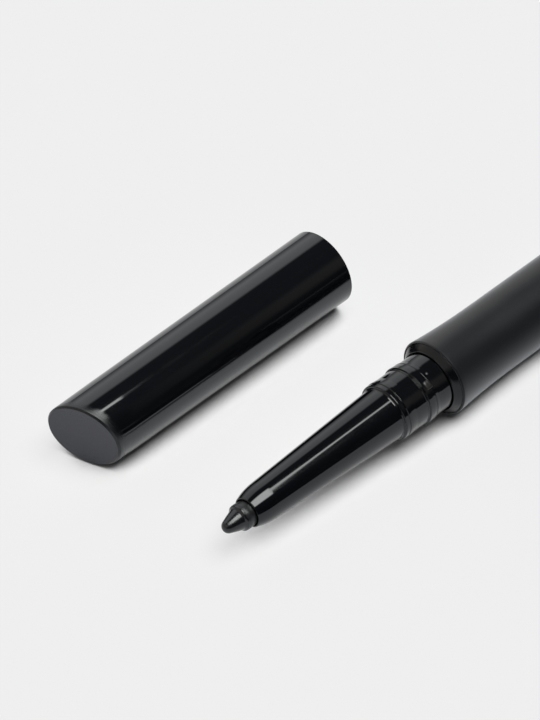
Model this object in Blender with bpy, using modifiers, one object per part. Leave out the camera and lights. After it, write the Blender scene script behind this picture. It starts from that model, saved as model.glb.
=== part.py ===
"""Retractable eyeliner pencil, lying beside its cap.

The pencil's axis is the world X axis, its tip points to -X, and the origin is the
centre of the flat face at its tail. Stations are measured along the axis from the
front plane of the barrel, so what stands ahead of the barrel has a negative
station. Turning the nozzle turns a slotted guide tube. Two lugs on the lead carrier
pass through its slots into a two-start helical groove in the barrel, which moves the
lead along the axis.
All sizes are in metres.
"""

import math

import bmesh
import bpy
from mathutils import Vector

# Lead and its carrier. Every fit round the axis builds outward from the lead.
LEAD_DIAMETER = 0.00336
LEAD_STICK_OUT = 0.00379
LEAD_LENGTH = 0.02400
LEAD_SHOULDER = 0.00142
LEAD_SHOULDER_STEP = 0.00030
LEAD_TIP_RADIUS = 0.00084
CUP_WALL = 0.00020
CUP_DEPTH = 0.0040
CUP_FLOOR = 0.0020
STEM_DIAMETER = 0.0026
HEAD_FRONT = 0.0050
HEAD_REAR = 0.0034

# Helical drive
ADVANCE = 0.0120
RETRACT = 0.0045
HELIX_LEAD = 0.0040
GROOVE_DEPTH = 0.00070
LUG_DIAMETER = 0.00080
LUG_STATION = 0.0360
LUG_GAP = 0.00015
SPIRAL_END_SPACE = 0.0030

# Guide tube with its two slots
GUIDE_WALL = 0.00040
GUIDE_SEAT_LENGTH = 0.0165
SLOT_END_SPACE = 0.00060
END_CAP_FLANGE = 0.00080
END_CAP_DEPTH = 0.00200

# Nozzle: a cone with a rounded nose, then a neck with two beads and a shank
CONE_LENGTH = 0.02223
CONE_SLOPE = 0.0457
CONE_STEP = 0.00029
NOSE_LENGTH = 0.0030
NOSE_POWER = 2.5
MOUTH_GAP = 0.00010
MOUTH_WALL = 0.00012
NOZZLE_BORE_TAPER = 0.0006
ADVANCE_SPACE = 0.00020
BEAD_WIDTH = 0.00100
BEAD_STEP = 0.00023
BEAD_GROOVE_WIDTH = 0.00014
BEAD_GROOVE_DEPTH = 0.00010
BAND_LENGTH = 0.00288
SNAP_BEAD_WIDTH = 0.00146
SNAP_BEAD_HEIGHT = 0.00022
SNAP_BEAD_SPACE = 0.00282
BEAD_CHAMFER = 0.00008
KEY_WIDTH = 0.00080
KEY_LENGTH = 0.00090
KEY_HEIGHT = 0.00014
KEY_ANGLE = 125.8
SHANK_WALL = 0.00040
SHANK_REAR = 0.00130

# Soft ring that gives the twist its friction
SOFT_RING_GROOVE_DEPTH = 0.00074
SOFT_RING_GROOVE_WIDTH = 0.00120
SOFT_RING_SPACE = 0.00135

# Clip ring that holds the nozzle in the barrel
CLIP_GROOVE_DEPTH = 0.00044
CLIP_WIDTH = 0.00080
CLIP_SLIT = 0.00120
CLIP_SPACE = 0.00090

# Front collar, pressed into the barrel's flared end
COLLAR_OPENING = 0.00028
COLLAR_WALL = 0.00034
COLLAR_LENGTH = 0.00340
COLLAR_RISE = 0.00070
COLLAR_FLANGE_DEPTH = 0.00090
COLLAR_MOUTH_DEPTH = 0.00050
COLLAR_EDGE = 0.00008

# Barrel sleeve
BARREL_LENGTH = 0.0880
SHANK_GAP = 0.00021
BARREL_WALL = 0.00063
RIM_RISE = 0.00041
RIM_LIP = 0.00022
FLARE_LENGTH = 0.0093
TAIL_FILLET = 0.00035

# Tail plug
PLUG_INSET = 0.00029
PLUG_FLANGE_THICKNESS = 0.00090
PLUG_EDGE = 0.00030
PLUG_BOSS_LENGTH = 0.0080
PLUG_WALL = 0.00090

# Cap
CAP_STEP = 0.00005
CAP_TAPER = 0.00024
CAP_MOUTH_LIP = 0.00022
CAP_MOUTH_CHAMFER = 0.00040
CAP_MOUTH_EDGE = 0.00010
CAP_END_EDGE = 0.00030
CAP_END_WALL = 0.00356
CAP_CUT_ANGLE = 18.1
CAP_CUT_TURN = 15.1
CAP_MOUTH_STATION = 0.00441
CAP_ASIDE = 0.02229
CAP_YAW = 0.24
LINER_INSET = 0.0015
LINER_WALL = 0.00035
LINER_ROOM = 0.00008
LINER_GRIP_LENGTH = 0.0085
LINER_FLOOR = 0.00070
LINER_SNAP_WIDTH = 0.00050
TIP_CLEARANCE = 0.00080

# Gaps
FIT_GAP = 0.00005
RUNNING_GAP = 0.00012
SNAP_GAP = 0.00003

SIDES = 40
SMALL_SIDES = 24

COLLECTION_NAME = "retractable_eyeliner_pencil"
CUTTERS_NAME = "cutters"


def clear_scene():
    """Remove every object of the scene."""
    for thing in list(bpy.data.objects):
        bpy.data.objects.remove(thing, do_unlink=True)


def new_collection(name):
    """Return a fresh collection linked to the scene."""
    collection = bpy.data.collections.new(name)
    bpy.context.scene.collection.children.link(collection)
    return collection


def principled(name, colour, roughness, metallic=0.0):
    """Return a Principled material."""
    material = bpy.data.materials.new(name)
    material.use_nodes = True
    shader = material.node_tree.nodes["Principled BSDF"]
    shader.inputs["Base Color"].default_value = (*colour, 1.0)
    shader.inputs["Roughness"].default_value = roughness
    shader.inputs["Metallic"].default_value = metallic
    return material


def empty(name, location, rotation):
    """Return an empty that carries the pieces on one axis."""
    holder = bpy.data.objects.new(name, None)
    holder.location = location
    holder.rotation_euler = rotation
    parts.objects.link(holder)
    return holder


def rounded(corners, segments=3):
    """Turn (station, radius, fillet) corners into points with arcs at the fillets."""
    points = []
    for index, (station, radius, fillet) in enumerate(corners):
        here = Vector((station, radius))
        if fillet <= 0 or index in (0, len(corners) - 1):
            points.append(tuple(here))
            continue
        before = Vector(corners[index - 1][:2]) - here
        after = Vector(corners[index + 1][:2]) - here
        half = before.angle(after) / 2
        reach = fillet / math.tan(half)
        middle = (before.normalized() + after.normalized()).normalized()
        centre = here + middle * (fillet / math.sin(half))
        first = here + before.normalized() * reach - centre
        last = here + after.normalized() * reach - centre
        sweep = first.angle_signed(last)
        for step in range(segments + 1):
            turn = -sweep * step / segments
            spoke = Vector(
                (
                    first.x * math.cos(turn) - first.y * math.sin(turn),
                    first.x * math.sin(turn) + first.y * math.cos(turn),
                )
            )
            points.append(tuple(centre + spoke))
    return points


def turned(name, outer, inner, material, holder, sides=SIDES):
    """Turn a profile round the holder's Z axis.

    outer and inner are (station, radius) points from front to rear. Where inner is
    empty the piece is solid and outer starts and ends on the axis.
    """
    loop = list(reversed(outer)) + list(inner)
    mesh = bpy.data.meshes.new(name)
    edges = [(i, i + 1) for i in range(len(loop) - 1)]
    if inner:
        edges.append((len(loop) - 1, 0))
    mesh.from_pydata([(radius, 0.0, station) for station, radius in loop], edges, [])
    piece = bpy.data.objects.new(name, mesh)
    piece.parent = holder
    parts.objects.link(piece)
    screw = piece.modifiers.new("Turned", "SCREW")
    screw.axis = "Z"
    screw.angle = math.tau
    screw.steps = sides
    screw.render_steps = sides
    screw.use_merge_vertices = True
    screw.merge_threshold = 0.000001
    piece.data.materials.append(material)
    return piece


def make_mesh(piece):
    """Replace a piece's modifiers by the mesh that they give."""
    bpy.context.view_layer.update()
    shaped = piece.evaluated_get(bpy.context.evaluated_depsgraph_get())
    mesh = bpy.data.meshes.new_from_object(shaped)
    piece.modifiers.clear()
    piece.data = mesh
    return mesh


def cutter_object(name, mesh, holder):
    """Put a mesh in the cutters' collection."""
    cutter = bpy.data.objects.new(name, mesh)
    cutter.parent = holder
    cutter.display_type = "WIRE"
    cutter.hide_render = True
    cutters.objects.link(cutter)
    return cutter


def box_mesh(name, size, centre, turn=0.0):
    """Return a box mesh, turned round the Z axis about the origin."""
    mesh = bpy.data.meshes.new(name)
    bm = bmesh.new()
    bmesh.ops.create_cube(bm, size=1.0)
    bmesh.ops.scale(bm, vec=size, verts=bm.verts)
    bmesh.ops.translate(bm, vec=centre, verts=bm.verts)
    for vertex in bm.verts:
        x, y = vertex.co.x, vertex.co.y
        vertex.co.x = x * math.cos(turn) - y * math.sin(turn)
        vertex.co.y = x * math.sin(turn) + y * math.cos(turn)
    bm.to_mesh(mesh)
    bm.free()
    return mesh


def boolean(piece, other, operation):
    """Cut or join a piece with another mesh object."""
    step = piece.modifiers.new(operation.title(), "BOOLEAN")
    step.operation = operation
    step.solver = "EXACT"
    step.object = other
    return step


def flare(length, rise, steps=6):
    """Return (distance from the rim, extra radius) points of a parabolic flare."""
    points = []
    for index in range(1, steps + 1):
        share = index / steps
        points.append((length * share, rise * (1 - share) ** 2))
    return points


def smooth(piece):
    """Shade a round piece smooth with sharp edges kept."""
    make_mesh(piece)
    piece.data.shade_smooth()
    piece.data.set_sharp_from_angle(angle=math.radians(30))


# Radii that follow from the sizes above, from the lead outward
LEAD_RADIUS = LEAD_DIAMETER / 2
SOCKET_RADIUS = LEAD_RADIUS + FIT_GAP
CARRIER_RADIUS = SOCKET_RADIUS + CUP_WALL
GUIDE_BORE_RADIUS = CARRIER_RADIUS + RUNNING_GAP
GUIDE_RADIUS = GUIDE_BORE_RADIUS + GUIDE_WALL
GUIDE_SEAT_RADIUS = GUIDE_RADIUS + FIT_GAP
SPIRAL_INNER_RADIUS = GUIDE_RADIUS + RUNNING_GAP
GROOVE_RADIUS = SPIRAL_INNER_RADIUS + GROOVE_DEPTH
MOUTH_BORE_RADIUS = LEAD_RADIUS + MOUTH_GAP
MOUTH_RADIUS = MOUTH_BORE_RADIUS + MOUTH_WALL
SOFT_GROOVE_RADIUS = GUIDE_SEAT_RADIUS + SHANK_WALL
NECK_RADIUS = SOFT_GROOVE_RADIUS + SOFT_RING_GROOVE_DEPTH
CONE_BASE_RADIUS = NECK_RADIUS - CONE_STEP
BEAD_RADIUS = CONE_BASE_RADIUS + BEAD_STEP
SNAP_BEAD_RADIUS = NECK_RADIUS + SNAP_BEAD_HEIGHT
CLIP_GROOVE_RADIUS = NECK_RADIUS - CLIP_GROOVE_DEPTH
BEARING_RADIUS = NECK_RADIUS + RUNNING_GAP
COLLAR_MOUTH_RADIUS = NECK_RADIUS + COLLAR_OPENING
SPIGOT_RADIUS = BEARING_RADIUS + COLLAR_WALL
SPIGOT_SEAT_RADIUS = SPIGOT_RADIUS + FIT_GAP
CLIP_RADIUS = SPIGOT_SEAT_RADIUS - RUNNING_GAP
BORE_RADIUS = NECK_RADIUS + SHANK_GAP
BARREL_RADIUS = BORE_RADIUS + BARREL_WALL
RIM_RADIUS = BARREL_RADIUS + RIM_RISE
FLANGE_SEAT_RADIUS = RIM_RADIUS - RIM_LIP
FLANGE_RADIUS = FLANGE_SEAT_RADIUS - FIT_GAP
RIM_FILLET = RIM_LIP * 0.85
LINER_HOLD_RADIUS = SNAP_BEAD_RADIUS + LINER_ROOM
LINER_RADIUS = LINER_HOLD_RADIUS + LINER_WALL
CAP_BORE_RADIUS = LINER_RADIUS + FIT_GAP
CAP_MOUTH_RADIUS = RIM_RADIUS - CAP_STEP
CAP_END_RADIUS = CAP_MOUTH_RADIUS - CAP_TAPER

# Widths of the lugs' ways
SLOT_WIDTH = LUG_DIAMETER + 2 * LUG_GAP
GROOVE_WIDTH = LUG_DIAMETER + 2 * LUG_GAP

# Stations that follow, from the barrel's front plane
SNAP_BEAD_STATION = -(SNAP_BEAD_SPACE + SNAP_BEAD_WIDTH)
BEAD_GROOVE_STATION = SNAP_BEAD_STATION - BAND_LENGTH - BEAD_GROOVE_WIDTH
CONE_BASE_STATION = BEAD_GROOVE_STATION - BEAD_WIDTH
MOUTH_STATION = CONE_BASE_STATION - CONE_LENGTH
LEAD_TIP_STATION = MOUTH_STATION - LEAD_STICK_OUT
LEAD_REAR_STATION = LEAD_TIP_STATION + LEAD_LENGTH
CUP_FLOOR_STATION = LEAD_REAR_STATION + FIT_GAP
CUP_FRONT_STATION = CUP_FLOOR_STATION - CUP_DEPTH
NOZZLE_TAPER_END = CUP_FRONT_STATION - ADVANCE - ADVANCE_SPACE
CLIP_FRONT_STATION = COLLAR_LENGTH + CLIP_SPACE / 2
CLIP_GROOVE_END = CLIP_FRONT_STATION + CLIP_WIDTH + 2 * FIT_GAP
CLIP_ROOM_END = COLLAR_LENGTH + CLIP_SPACE + CLIP_WIDTH
SOFT_GROOVE_FRONT = CLIP_GROOVE_END + SOFT_RING_SPACE
SOFT_GROOVE_END = SOFT_GROOVE_FRONT + SOFT_RING_GROOVE_WIDTH
SHANK_END_STATION = SOFT_GROOVE_END + SHANK_REAR
GUIDE_FRONT_STATION = SHANK_END_STATION - GUIDE_SEAT_LENGTH
HEAD_REAR_STATION = LUG_STATION + HEAD_REAR
GUIDE_END_STATION = HEAD_REAR_STATION + RETRACT + RUNNING_GAP + END_CAP_DEPTH
SLOT_FRONT_STATION = LUG_STATION - ADVANCE - LUG_DIAMETER / 2 - SLOT_END_SPACE
SLOT_REAR_STATION = LUG_STATION + RETRACT + LUG_DIAMETER / 2 + SLOT_END_SPACE
SPIRAL_FRONT_STATION = SHANK_END_STATION + 5 * RUNNING_GAP
SPIRAL_REAR_STATION = GUIDE_END_STATION + SPIRAL_END_SPACE
CAP_REACH = -LEAD_TIP_STATION + TIP_CLEARANCE
CAP_BORE_DEPTH = CAP_REACH + LINER_FLOOR + FIT_GAP
CAP_LENGTH = CAP_BORE_DEPTH + CAP_END_WALL
ORIGIN_STATION = BARREL_LENGTH + FIT_GAP + PLUG_FLANGE_THICKNESS


def barrel_sleeve(material, holder):
    """The soft matte sleeve, flared at both ends and stepped inside at the front."""
    outer = rounded(
        [
            (0, FLANGE_SEAT_RADIUS, 0),
            (0, RIM_RADIUS, RIM_FILLET),
            (RIM_FILLET * 2, RIM_RADIUS, 0),
        ]
    )[:-1]
    for distance, extra in flare(FLARE_LENGTH, RIM_RISE):
        outer.append((RIM_FILLET + distance, BARREL_RADIUS + extra))
    for distance, extra in reversed(flare(FLARE_LENGTH, RIM_RISE)):
        outer.append((BARREL_LENGTH - TAIL_FILLET - distance, BARREL_RADIUS + extra))
    outer += rounded(
        [
            (BARREL_LENGTH - TAIL_FILLET * 2, RIM_RADIUS, 0),
            (BARREL_LENGTH, RIM_RADIUS, TAIL_FILLET),
            (BARREL_LENGTH, BORE_RADIUS, 0),
        ]
    )[1:-1]
    flange_end = COLLAR_FLANGE_DEPTH + FIT_GAP
    inner = [
        (0, FLANGE_SEAT_RADIUS),
        (flange_end, FLANGE_SEAT_RADIUS),
        (flange_end, SPIGOT_SEAT_RADIUS),
        (CLIP_ROOM_END, SPIGOT_SEAT_RADIUS),
        (CLIP_ROOM_END, BORE_RADIUS),
        (BARREL_LENGTH, BORE_RADIUS),
    ]
    return turned("barrel_sleeve", outer[1:], inner, material, holder)


def front_collar(material, holder):
    """The glossy collar whose sloping face closes the gap round the neck."""
    outer = rounded(
        [
            (-COLLAR_RISE, COLLAR_MOUTH_RADIUS + COLLAR_EDGE * 2, 0),
            (0, FLANGE_RADIUS, COLLAR_EDGE),
            (COLLAR_FLANGE_DEPTH, FLANGE_RADIUS, 0),
        ],
        2,
    )
    outer += [(COLLAR_FLANGE_DEPTH, SPIGOT_RADIUS), (COLLAR_LENGTH, SPIGOT_RADIUS)]
    inner = [
        (-COLLAR_RISE + COLLAR_EDGE, COLLAR_MOUTH_RADIUS),
        (COLLAR_MOUTH_DEPTH, COLLAR_MOUTH_RADIUS),
        (COLLAR_MOUTH_DEPTH, BEARING_RADIUS),
        (COLLAR_LENGTH, BEARING_RADIUS),
    ]
    return turned("front_collar", outer, inner, material, holder)


def tail_plug(material, holder):
    """The plug that closes the tail, with a hollow boss in the bore."""
    flange = RIM_RADIUS - PLUG_INSET
    boss = BORE_RADIUS - FIT_GAP
    front = BARREL_LENGTH - PLUG_BOSS_LENGTH
    seat = BARREL_LENGTH + FIT_GAP
    rear = seat + PLUG_FLANGE_THICKNESS
    outer = rounded(
        [
            (seat - PLUG_WALL, 0, 0),
            (seat - PLUG_WALL, boss - PLUG_WALL, 0),
            (front, boss - PLUG_WALL, 0),
            (front, boss, 0),
            (seat, boss, 0),
            (seat, flange, 0),
            (rear, flange, PLUG_EDGE),
            (rear, 0, 0),
        ]
    )
    return turned("tail_plug", outer, [], material, holder)


def cone_radius(station):
    """Outer radius of the nozzle's cone: straight, with a rounded nose."""
    straight = CONE_BASE_RADIUS + (station - CONE_BASE_STATION) * CONE_SLOPE
    at_mouth = CONE_BASE_RADIUS - CONE_LENGTH * CONE_SLOPE
    share = (station - MOUTH_STATION) / NOSE_LENGTH
    if share >= 1:
        return straight
    return straight - (at_mouth - MOUTH_RADIUS) * (1 - share) ** NOSE_POWER


def nozzle_outline():
    """Outer points of the nozzle from its mouth to the end of its shank."""
    points = []
    for share in (0.0, 0.06, 0.18, 0.34, 0.56, 1.0):
        station = MOUTH_STATION + NOSE_LENGTH * share
        points.append((station, cone_radius(station)))
    points.append((CONE_BASE_STATION, CONE_BASE_RADIUS))
    band_front = BEAD_GROOVE_STATION + BEAD_GROOVE_WIDTH
    snap_end = SNAP_BEAD_STATION + SNAP_BEAD_WIDTH
    points += [
        (CONE_BASE_STATION + BEAD_CHAMFER, BEAD_RADIUS),
        (BEAD_GROOVE_STATION, BEAD_RADIUS),
        (BEAD_GROOVE_STATION, BEAD_RADIUS - BEAD_GROOVE_DEPTH),
        (band_front, BEAD_RADIUS - BEAD_GROOVE_DEPTH),
        (band_front, NECK_RADIUS),
        (SNAP_BEAD_STATION, NECK_RADIUS),
        (SNAP_BEAD_STATION + BEAD_CHAMFER, SNAP_BEAD_RADIUS),
        (snap_end - BEAD_CHAMFER, SNAP_BEAD_RADIUS),
        (snap_end, NECK_RADIUS),
        (CLIP_FRONT_STATION, NECK_RADIUS),
        (CLIP_FRONT_STATION, CLIP_GROOVE_RADIUS),
        (CLIP_GROOVE_END, CLIP_GROOVE_RADIUS),
        (CLIP_GROOVE_END, NECK_RADIUS),
        (SOFT_GROOVE_FRONT, NECK_RADIUS),
        (SOFT_GROOVE_FRONT, SOFT_GROOVE_RADIUS),
        (SOFT_GROOVE_END, SOFT_GROOVE_RADIUS),
        (SOFT_GROOVE_END, NECK_RADIUS),
        (SHANK_END_STATION, NECK_RADIUS),
    ]
    return points


def nozzle(material, holder):
    """The glossy nozzle, bored for the lead, the carrier and the guide tube."""
    inner = [
        (MOUTH_STATION, MOUTH_BORE_RADIUS),
        (NOZZLE_TAPER_END - NOZZLE_BORE_TAPER, MOUTH_BORE_RADIUS),
        (NOZZLE_TAPER_END, GUIDE_BORE_RADIUS),
        (GUIDE_FRONT_STATION - FIT_GAP, GUIDE_BORE_RADIUS),
        (GUIDE_FRONT_STATION - FIT_GAP, GUIDE_SEAT_RADIUS),
        (SHANK_END_STATION, GUIDE_SEAT_RADIUS),
    ]
    piece = turned("nozzle", nozzle_outline(), inner, material, holder)
    make_mesh(piece)
    top = SNAP_BEAD_RADIUS + KEY_HEIGHT
    bottom = NECK_RADIUS - KEY_HEIGHT
    key = box_mesh(
        "key_shape",
        (top - bottom, KEY_WIDTH, KEY_LENGTH),
        ((top + bottom) / 2, 0, SNAP_BEAD_STATION + SNAP_BEAD_WIDTH / 2),
        math.radians(KEY_ANGLE + 90),
    )
    boolean(piece, cutter_object("nozzle_key_shape", key, holder), "UNION")
    return piece


def retaining_ring(material, holder):
    """The split ring in the shank's front groove."""
    inner_radius = CLIP_GROOVE_RADIUS + FIT_GAP
    outer_radius = CLIP_RADIUS
    front = CLIP_FRONT_STATION + FIT_GAP
    rear = front + CLIP_WIDTH
    piece = turned(
        "retaining_ring",
        [(front, outer_radius), (rear, outer_radius)],
        [(front, inner_radius), (rear, inner_radius)],
        material,
        holder,
    )
    make_mesh(piece)
    slit = box_mesh(
        "slit_shape",
        (outer_radius * 1.5, CLIP_SLIT, CLIP_WIDTH * 3),
        (outer_radius, 0, front + CLIP_WIDTH / 2),
        math.radians(37),
    )
    boolean(piece, cutter_object("retaining_ring_slit", slit, holder), "DIFFERENCE")
    return piece


def friction_ring(material, holder):
    """The soft ring between the shank and the barrel's bore."""
    inside = SOFT_GROOVE_RADIUS + FIT_GAP
    outside = BORE_RADIUS - FIT_GAP
    bpy.ops.mesh.primitive_torus_add(
        major_segments=SIDES,
        minor_segments=8,
        major_radius=(inside + outside) / 2,
        minor_radius=(outside - inside) / 2,
    )
    piece = bpy.context.object
    piece.name = "friction_ring"
    piece.data.name = "friction_ring"
    for collection in list(piece.users_collection):
        collection.objects.unlink(piece)
    parts.objects.link(piece)
    piece.parent = holder
    piece.location = (0, 0, (SOFT_GROOVE_FRONT + SOFT_GROOVE_END) / 2)
    piece.data.materials.append(material)
    return piece


def guide_tube(material, holder):
    """The tube that turns with the nozzle, slotted on two sides."""
    piece = turned(
        "guide_tube",
        [(GUIDE_FRONT_STATION, GUIDE_RADIUS), (GUIDE_END_STATION, GUIDE_RADIUS)],
        [(GUIDE_FRONT_STATION, GUIDE_BORE_RADIUS), (GUIDE_END_STATION, GUIDE_BORE_RADIUS)],
        material,
        holder,
    )
    make_mesh(piece)
    length = SLOT_REAR_STATION - SLOT_FRONT_STATION
    slot = box_mesh(
        "slot_shape",
        (GUIDE_RADIUS * 3, SLOT_WIDTH, length),
        (0, 0, SLOT_FRONT_STATION + length / 2),
    )
    boolean(piece, cutter_object("guide_tube_slots", slot, holder), "DIFFERENCE")
    return piece


def guide_end_cap(material, holder):
    """The stop that closes the rear of the guide tube."""
    spigot = GUIDE_BORE_RADIUS - FIT_GAP
    seat = GUIDE_END_STATION + FIT_GAP
    outer = [
        (GUIDE_END_STATION - END_CAP_DEPTH, 0),
        (GUIDE_END_STATION - END_CAP_DEPTH, spigot),
        (seat, spigot),
        (seat, GUIDE_RADIUS),
        (seat + END_CAP_FLANGE, GUIDE_RADIUS),
        (seat + END_CAP_FLANGE, 0),
    ]
    return turned("guide_end_cap", outer, [], material, holder, SMALL_SIDES)


def helix_mesh(name, start_turn):
    """A solid that follows one start of the helical groove."""
    length = SLOT_REAR_STATION - SLOT_FRONT_STATION
    turns = length / HELIX_LEAD
    steps = round(turns * 20)
    first = (SLOT_FRONT_STATION - LUG_STATION) / HELIX_LEAD * math.tau + start_turn
    mesh = bpy.data.meshes.new(name)
    bm = bmesh.new()
    bmesh.ops.create_cube(bm, size=1.0)
    bottom = [face for face in bm.faces if face.normal.y < -0.5]
    rest = [face for face in bm.faces if face.normal.y >= -0.5]
    bmesh.ops.delete(bm, geom=rest, context="FACES")
    for vertex in bm.verts:
        vertex.co.x = GROOVE_RADIUS if vertex.co.x > 0 else GUIDE_RADIUS
        vertex.co.y = 0
        vertex.co.z = SLOT_FRONT_STATION + math.copysign(GROOVE_WIDTH / 2, vertex.co.z)
    geometry = bm.verts[:] + bm.edges[:] + bottom
    bmesh.ops.spin(
        bm,
        geom=geometry,
        cent=(0, 0, 0),
        axis=(0, 0, 1),
        dvec=(0, 0, length / steps),
        angle=turns * math.tau,
        steps=steps,
        use_duplicate=False,
    )
    bmesh.ops.recalc_face_normals(bm, faces=bm.faces)
    for vertex in bm.verts:
        x, y = vertex.co.x, vertex.co.y
        vertex.co.x = x * math.cos(first) - y * math.sin(first)
        vertex.co.y = x * math.sin(first) + y * math.cos(first)
    bm.to_mesh(mesh)
    bm.free()
    return mesh


def spiral_sleeve(material, holder):
    """The sleeve fixed in the barrel, with a two-start helical groove inside."""
    outer_radius = BORE_RADIUS - FIT_GAP
    front = SPIRAL_FRONT_STATION
    rear = SPIRAL_REAR_STATION
    piece = turned(
        "spiral_sleeve",
        [(front, outer_radius), (rear, outer_radius)],
        [(front, SPIRAL_INNER_RADIUS), (rear, SPIRAL_INNER_RADIUS)],
        material,
        holder,
    )
    make_mesh(piece)
    for number, turn in enumerate((0.0, math.pi), 1):
        mesh = helix_mesh(f"helix_shape_{number}", turn)
        cutter = cutter_object(f"spiral_groove_{number}", mesh, holder)
        boolean(piece, cutter, "DIFFERENCE")
    return piece


def lead_carrier(material, holder):
    """The carrier: a cup for the lead, a stem and a head with two lugs."""
    stem = STEM_DIAMETER / 2
    cup_end = CUP_FLOOR_STATION + CUP_FLOOR
    head_front = LUG_STATION - HEAD_FRONT
    outer = [
        (CUP_FLOOR_STATION, 0),
        (CUP_FLOOR_STATION, SOCKET_RADIUS),
        (CUP_FRONT_STATION, SOCKET_RADIUS),
        (CUP_FRONT_STATION, CARRIER_RADIUS),
        (cup_end, CARRIER_RADIUS),
        (cup_end + CARRIER_RADIUS - stem, stem),
        (head_front - CARRIER_RADIUS + stem, stem),
        (head_front, CARRIER_RADIUS),
        (HEAD_REAR_STATION, CARRIER_RADIUS),
        (HEAD_REAR_STATION, 0),
    ]
    piece = turned("lead_carrier", outer, [], material, holder, SMALL_SIDES)
    make_mesh(piece)
    mesh = bpy.data.meshes.new("lug_shape")
    bm = bmesh.new()
    bmesh.ops.create_cone(
        bm,
        cap_ends=True,
        segments=16,
        radius1=LUG_DIAMETER / 2,
        radius2=LUG_DIAMETER / 2,
        depth=2 * (GROOVE_RADIUS - RUNNING_GAP),
    )
    for vertex in bm.verts:
        vertex.co = Vector((vertex.co.z, vertex.co.y, vertex.co.x + LUG_STATION))
    bmesh.ops.recalc_face_normals(bm, faces=bm.faces)
    bm.to_mesh(mesh)
    bm.free()
    boolean(piece, cutter_object("lead_carrier_lugs", mesh, holder), "UNION")
    return piece


def lead(material, holder):
    """The moulded lead: a rod, a shoulder and a cone with a round tip."""
    shoulder = MOUTH_STATION - LEAD_SHOULDER
    cone_end = LEAD_RADIUS - LEAD_SHOULDER_STEP
    centre = LEAD_TIP_STATION + LEAD_TIP_RADIUS
    outer = []
    for step in range(5):
        turn = math.radians(72) * step / 4
        outer.append(
            (centre - LEAD_TIP_RADIUS * math.cos(turn), LEAD_TIP_RADIUS * math.sin(turn))
        )
    outer += [
        (shoulder, cone_end),
        (shoulder + LEAD_SHOULDER * 0.10, cone_end + LEAD_SHOULDER_STEP * 0.45),
        (shoulder + LEAD_SHOULDER * 0.26, cone_end + LEAD_SHOULDER_STEP * 0.76),
        (MOUTH_STATION, LEAD_RADIUS),
        (LEAD_REAR_STATION, LEAD_RADIUS),
        (LEAD_REAR_STATION, 0),
    ]
    return turned("lead", outer, [], material, holder, SMALL_SIDES)


def cap_shell(material, holder):
    """The glossy cap: a tapered tube whose closed end is cut at a slant."""
    outline = rounded(
        [
            (-CAP_BORE_DEPTH, 0, 0),
            (-CAP_BORE_DEPTH, CAP_BORE_RADIUS, 0),
            (-CAP_MOUTH_CHAMFER, CAP_BORE_RADIUS, 0),
            (0, CAP_MOUTH_RADIUS - CAP_MOUTH_LIP, 0),
            (0, CAP_MOUTH_RADIUS, CAP_MOUTH_EDGE),
            (-CAP_LENGTH, CAP_END_RADIUS, CAP_END_EDGE),
            (-CAP_LENGTH, 0, 0),
        ]
    )
    piece = turned("cap_shell", list(reversed(outline)), [], material, holder)
    make_mesh(piece)
    slope = math.tan(math.radians(CAP_CUT_ANGLE))
    turn = math.radians(CAP_CUT_TURN)
    for vertex in piece.data.vertices:
        if vertex.co.z < -CAP_LENGTH + 2 * CAP_END_EDGE:
            along = vertex.co.y * math.cos(turn) - vertex.co.x * math.sin(turn)
            vertex.co.z -= slope * along
    return piece


def cap_liner(material, holder):
    """The inner cup of the cap, with a snap rib and a closed, tapered end."""
    front = -LINER_INSET
    snap = SNAP_BEAD_RADIUS + SNAP_GAP
    grip_end = front - LINER_GRIP_LENGTH
    floor = -CAP_REACH
    rear = floor - LINER_FLOOR
    deep = cone_radius(MOUTH_STATION + NOSE_LENGTH) + 4 * RUNNING_GAP
    near = NECK_RADIUS + 2 * RUNNING_GAP
    rib = front - LINER_SNAP_WIDTH
    outer = [
        (rear, 0),
        (rear, deep + LINER_WALL),
        (grip_end - LINER_WALL * 2, near + LINER_WALL),
        (grip_end - LINER_WALL, LINER_RADIUS),
        (front, LINER_RADIUS),
        (front, LINER_HOLD_RADIUS),
        (rib + LINER_SNAP_WIDTH * 0.5, snap),
        (rib, snap),
        (rib - LINER_SNAP_WIDTH * 0.5, LINER_HOLD_RADIUS),
        (grip_end, LINER_HOLD_RADIUS),
        (grip_end - LINER_WALL, near),
        (floor, deep),
        (floor, 0),
    ]
    return turned("cap_liner", outer, [], material, holder)


clear_scene()
parts = new_collection(COLLECTION_NAME)
cutters = new_collection(CUTTERS_NAME)

soft_black = principled("soft_touch_black", (0.022, 0.022, 0.024), 0.46)
gloss_black = principled("gloss_black", (0.008, 0.008, 0.009), 0.06)
cap_black = principled("cap_black", (0.009, 0.009, 0.010), 0.07)
plug_black = principled("plug_black", (0.010, 0.010, 0.011), 0.12)
collar_black = principled("collar_black", (0.009, 0.009, 0.010), 0.08)
grey_plastic = principled("grey_plastic", (0.20, 0.20, 0.21), 0.40)
white_plastic = principled("white_plastic", (0.62, 0.62, 0.60), 0.42)
clear_plastic = principled("natural_plastic", (0.48, 0.49, 0.50), 0.35)
rubber = principled("soft_rubber", (0.030, 0.030, 0.030), 0.70)
lead_black = principled("lead_black", (0.010, 0.010, 0.011), 0.34)

quarter = math.pi / 2
front = (-ORIGIN_STATION, 0, 0)
pencil_axis = empty("pencil_axis", front, (0, quarter, 0))
nozzle_axis = empty("nozzle_axis", front, (0, quarter, 0))
carrier_axis = empty("carrier_axis", front, (0, quarter, 0))
cap_pitch = math.atan2(CAP_TAPER, CAP_LENGTH)
cap_axis = empty(
    "cap_axis",
    (
        CAP_MOUTH_STATION - ORIGIN_STATION,
        CAP_ASIDE,
        CAP_MOUTH_RADIUS - RIM_RADIUS,
    ),
    (0, quarter - cap_pitch, math.radians(CAP_YAW)),
)

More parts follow.
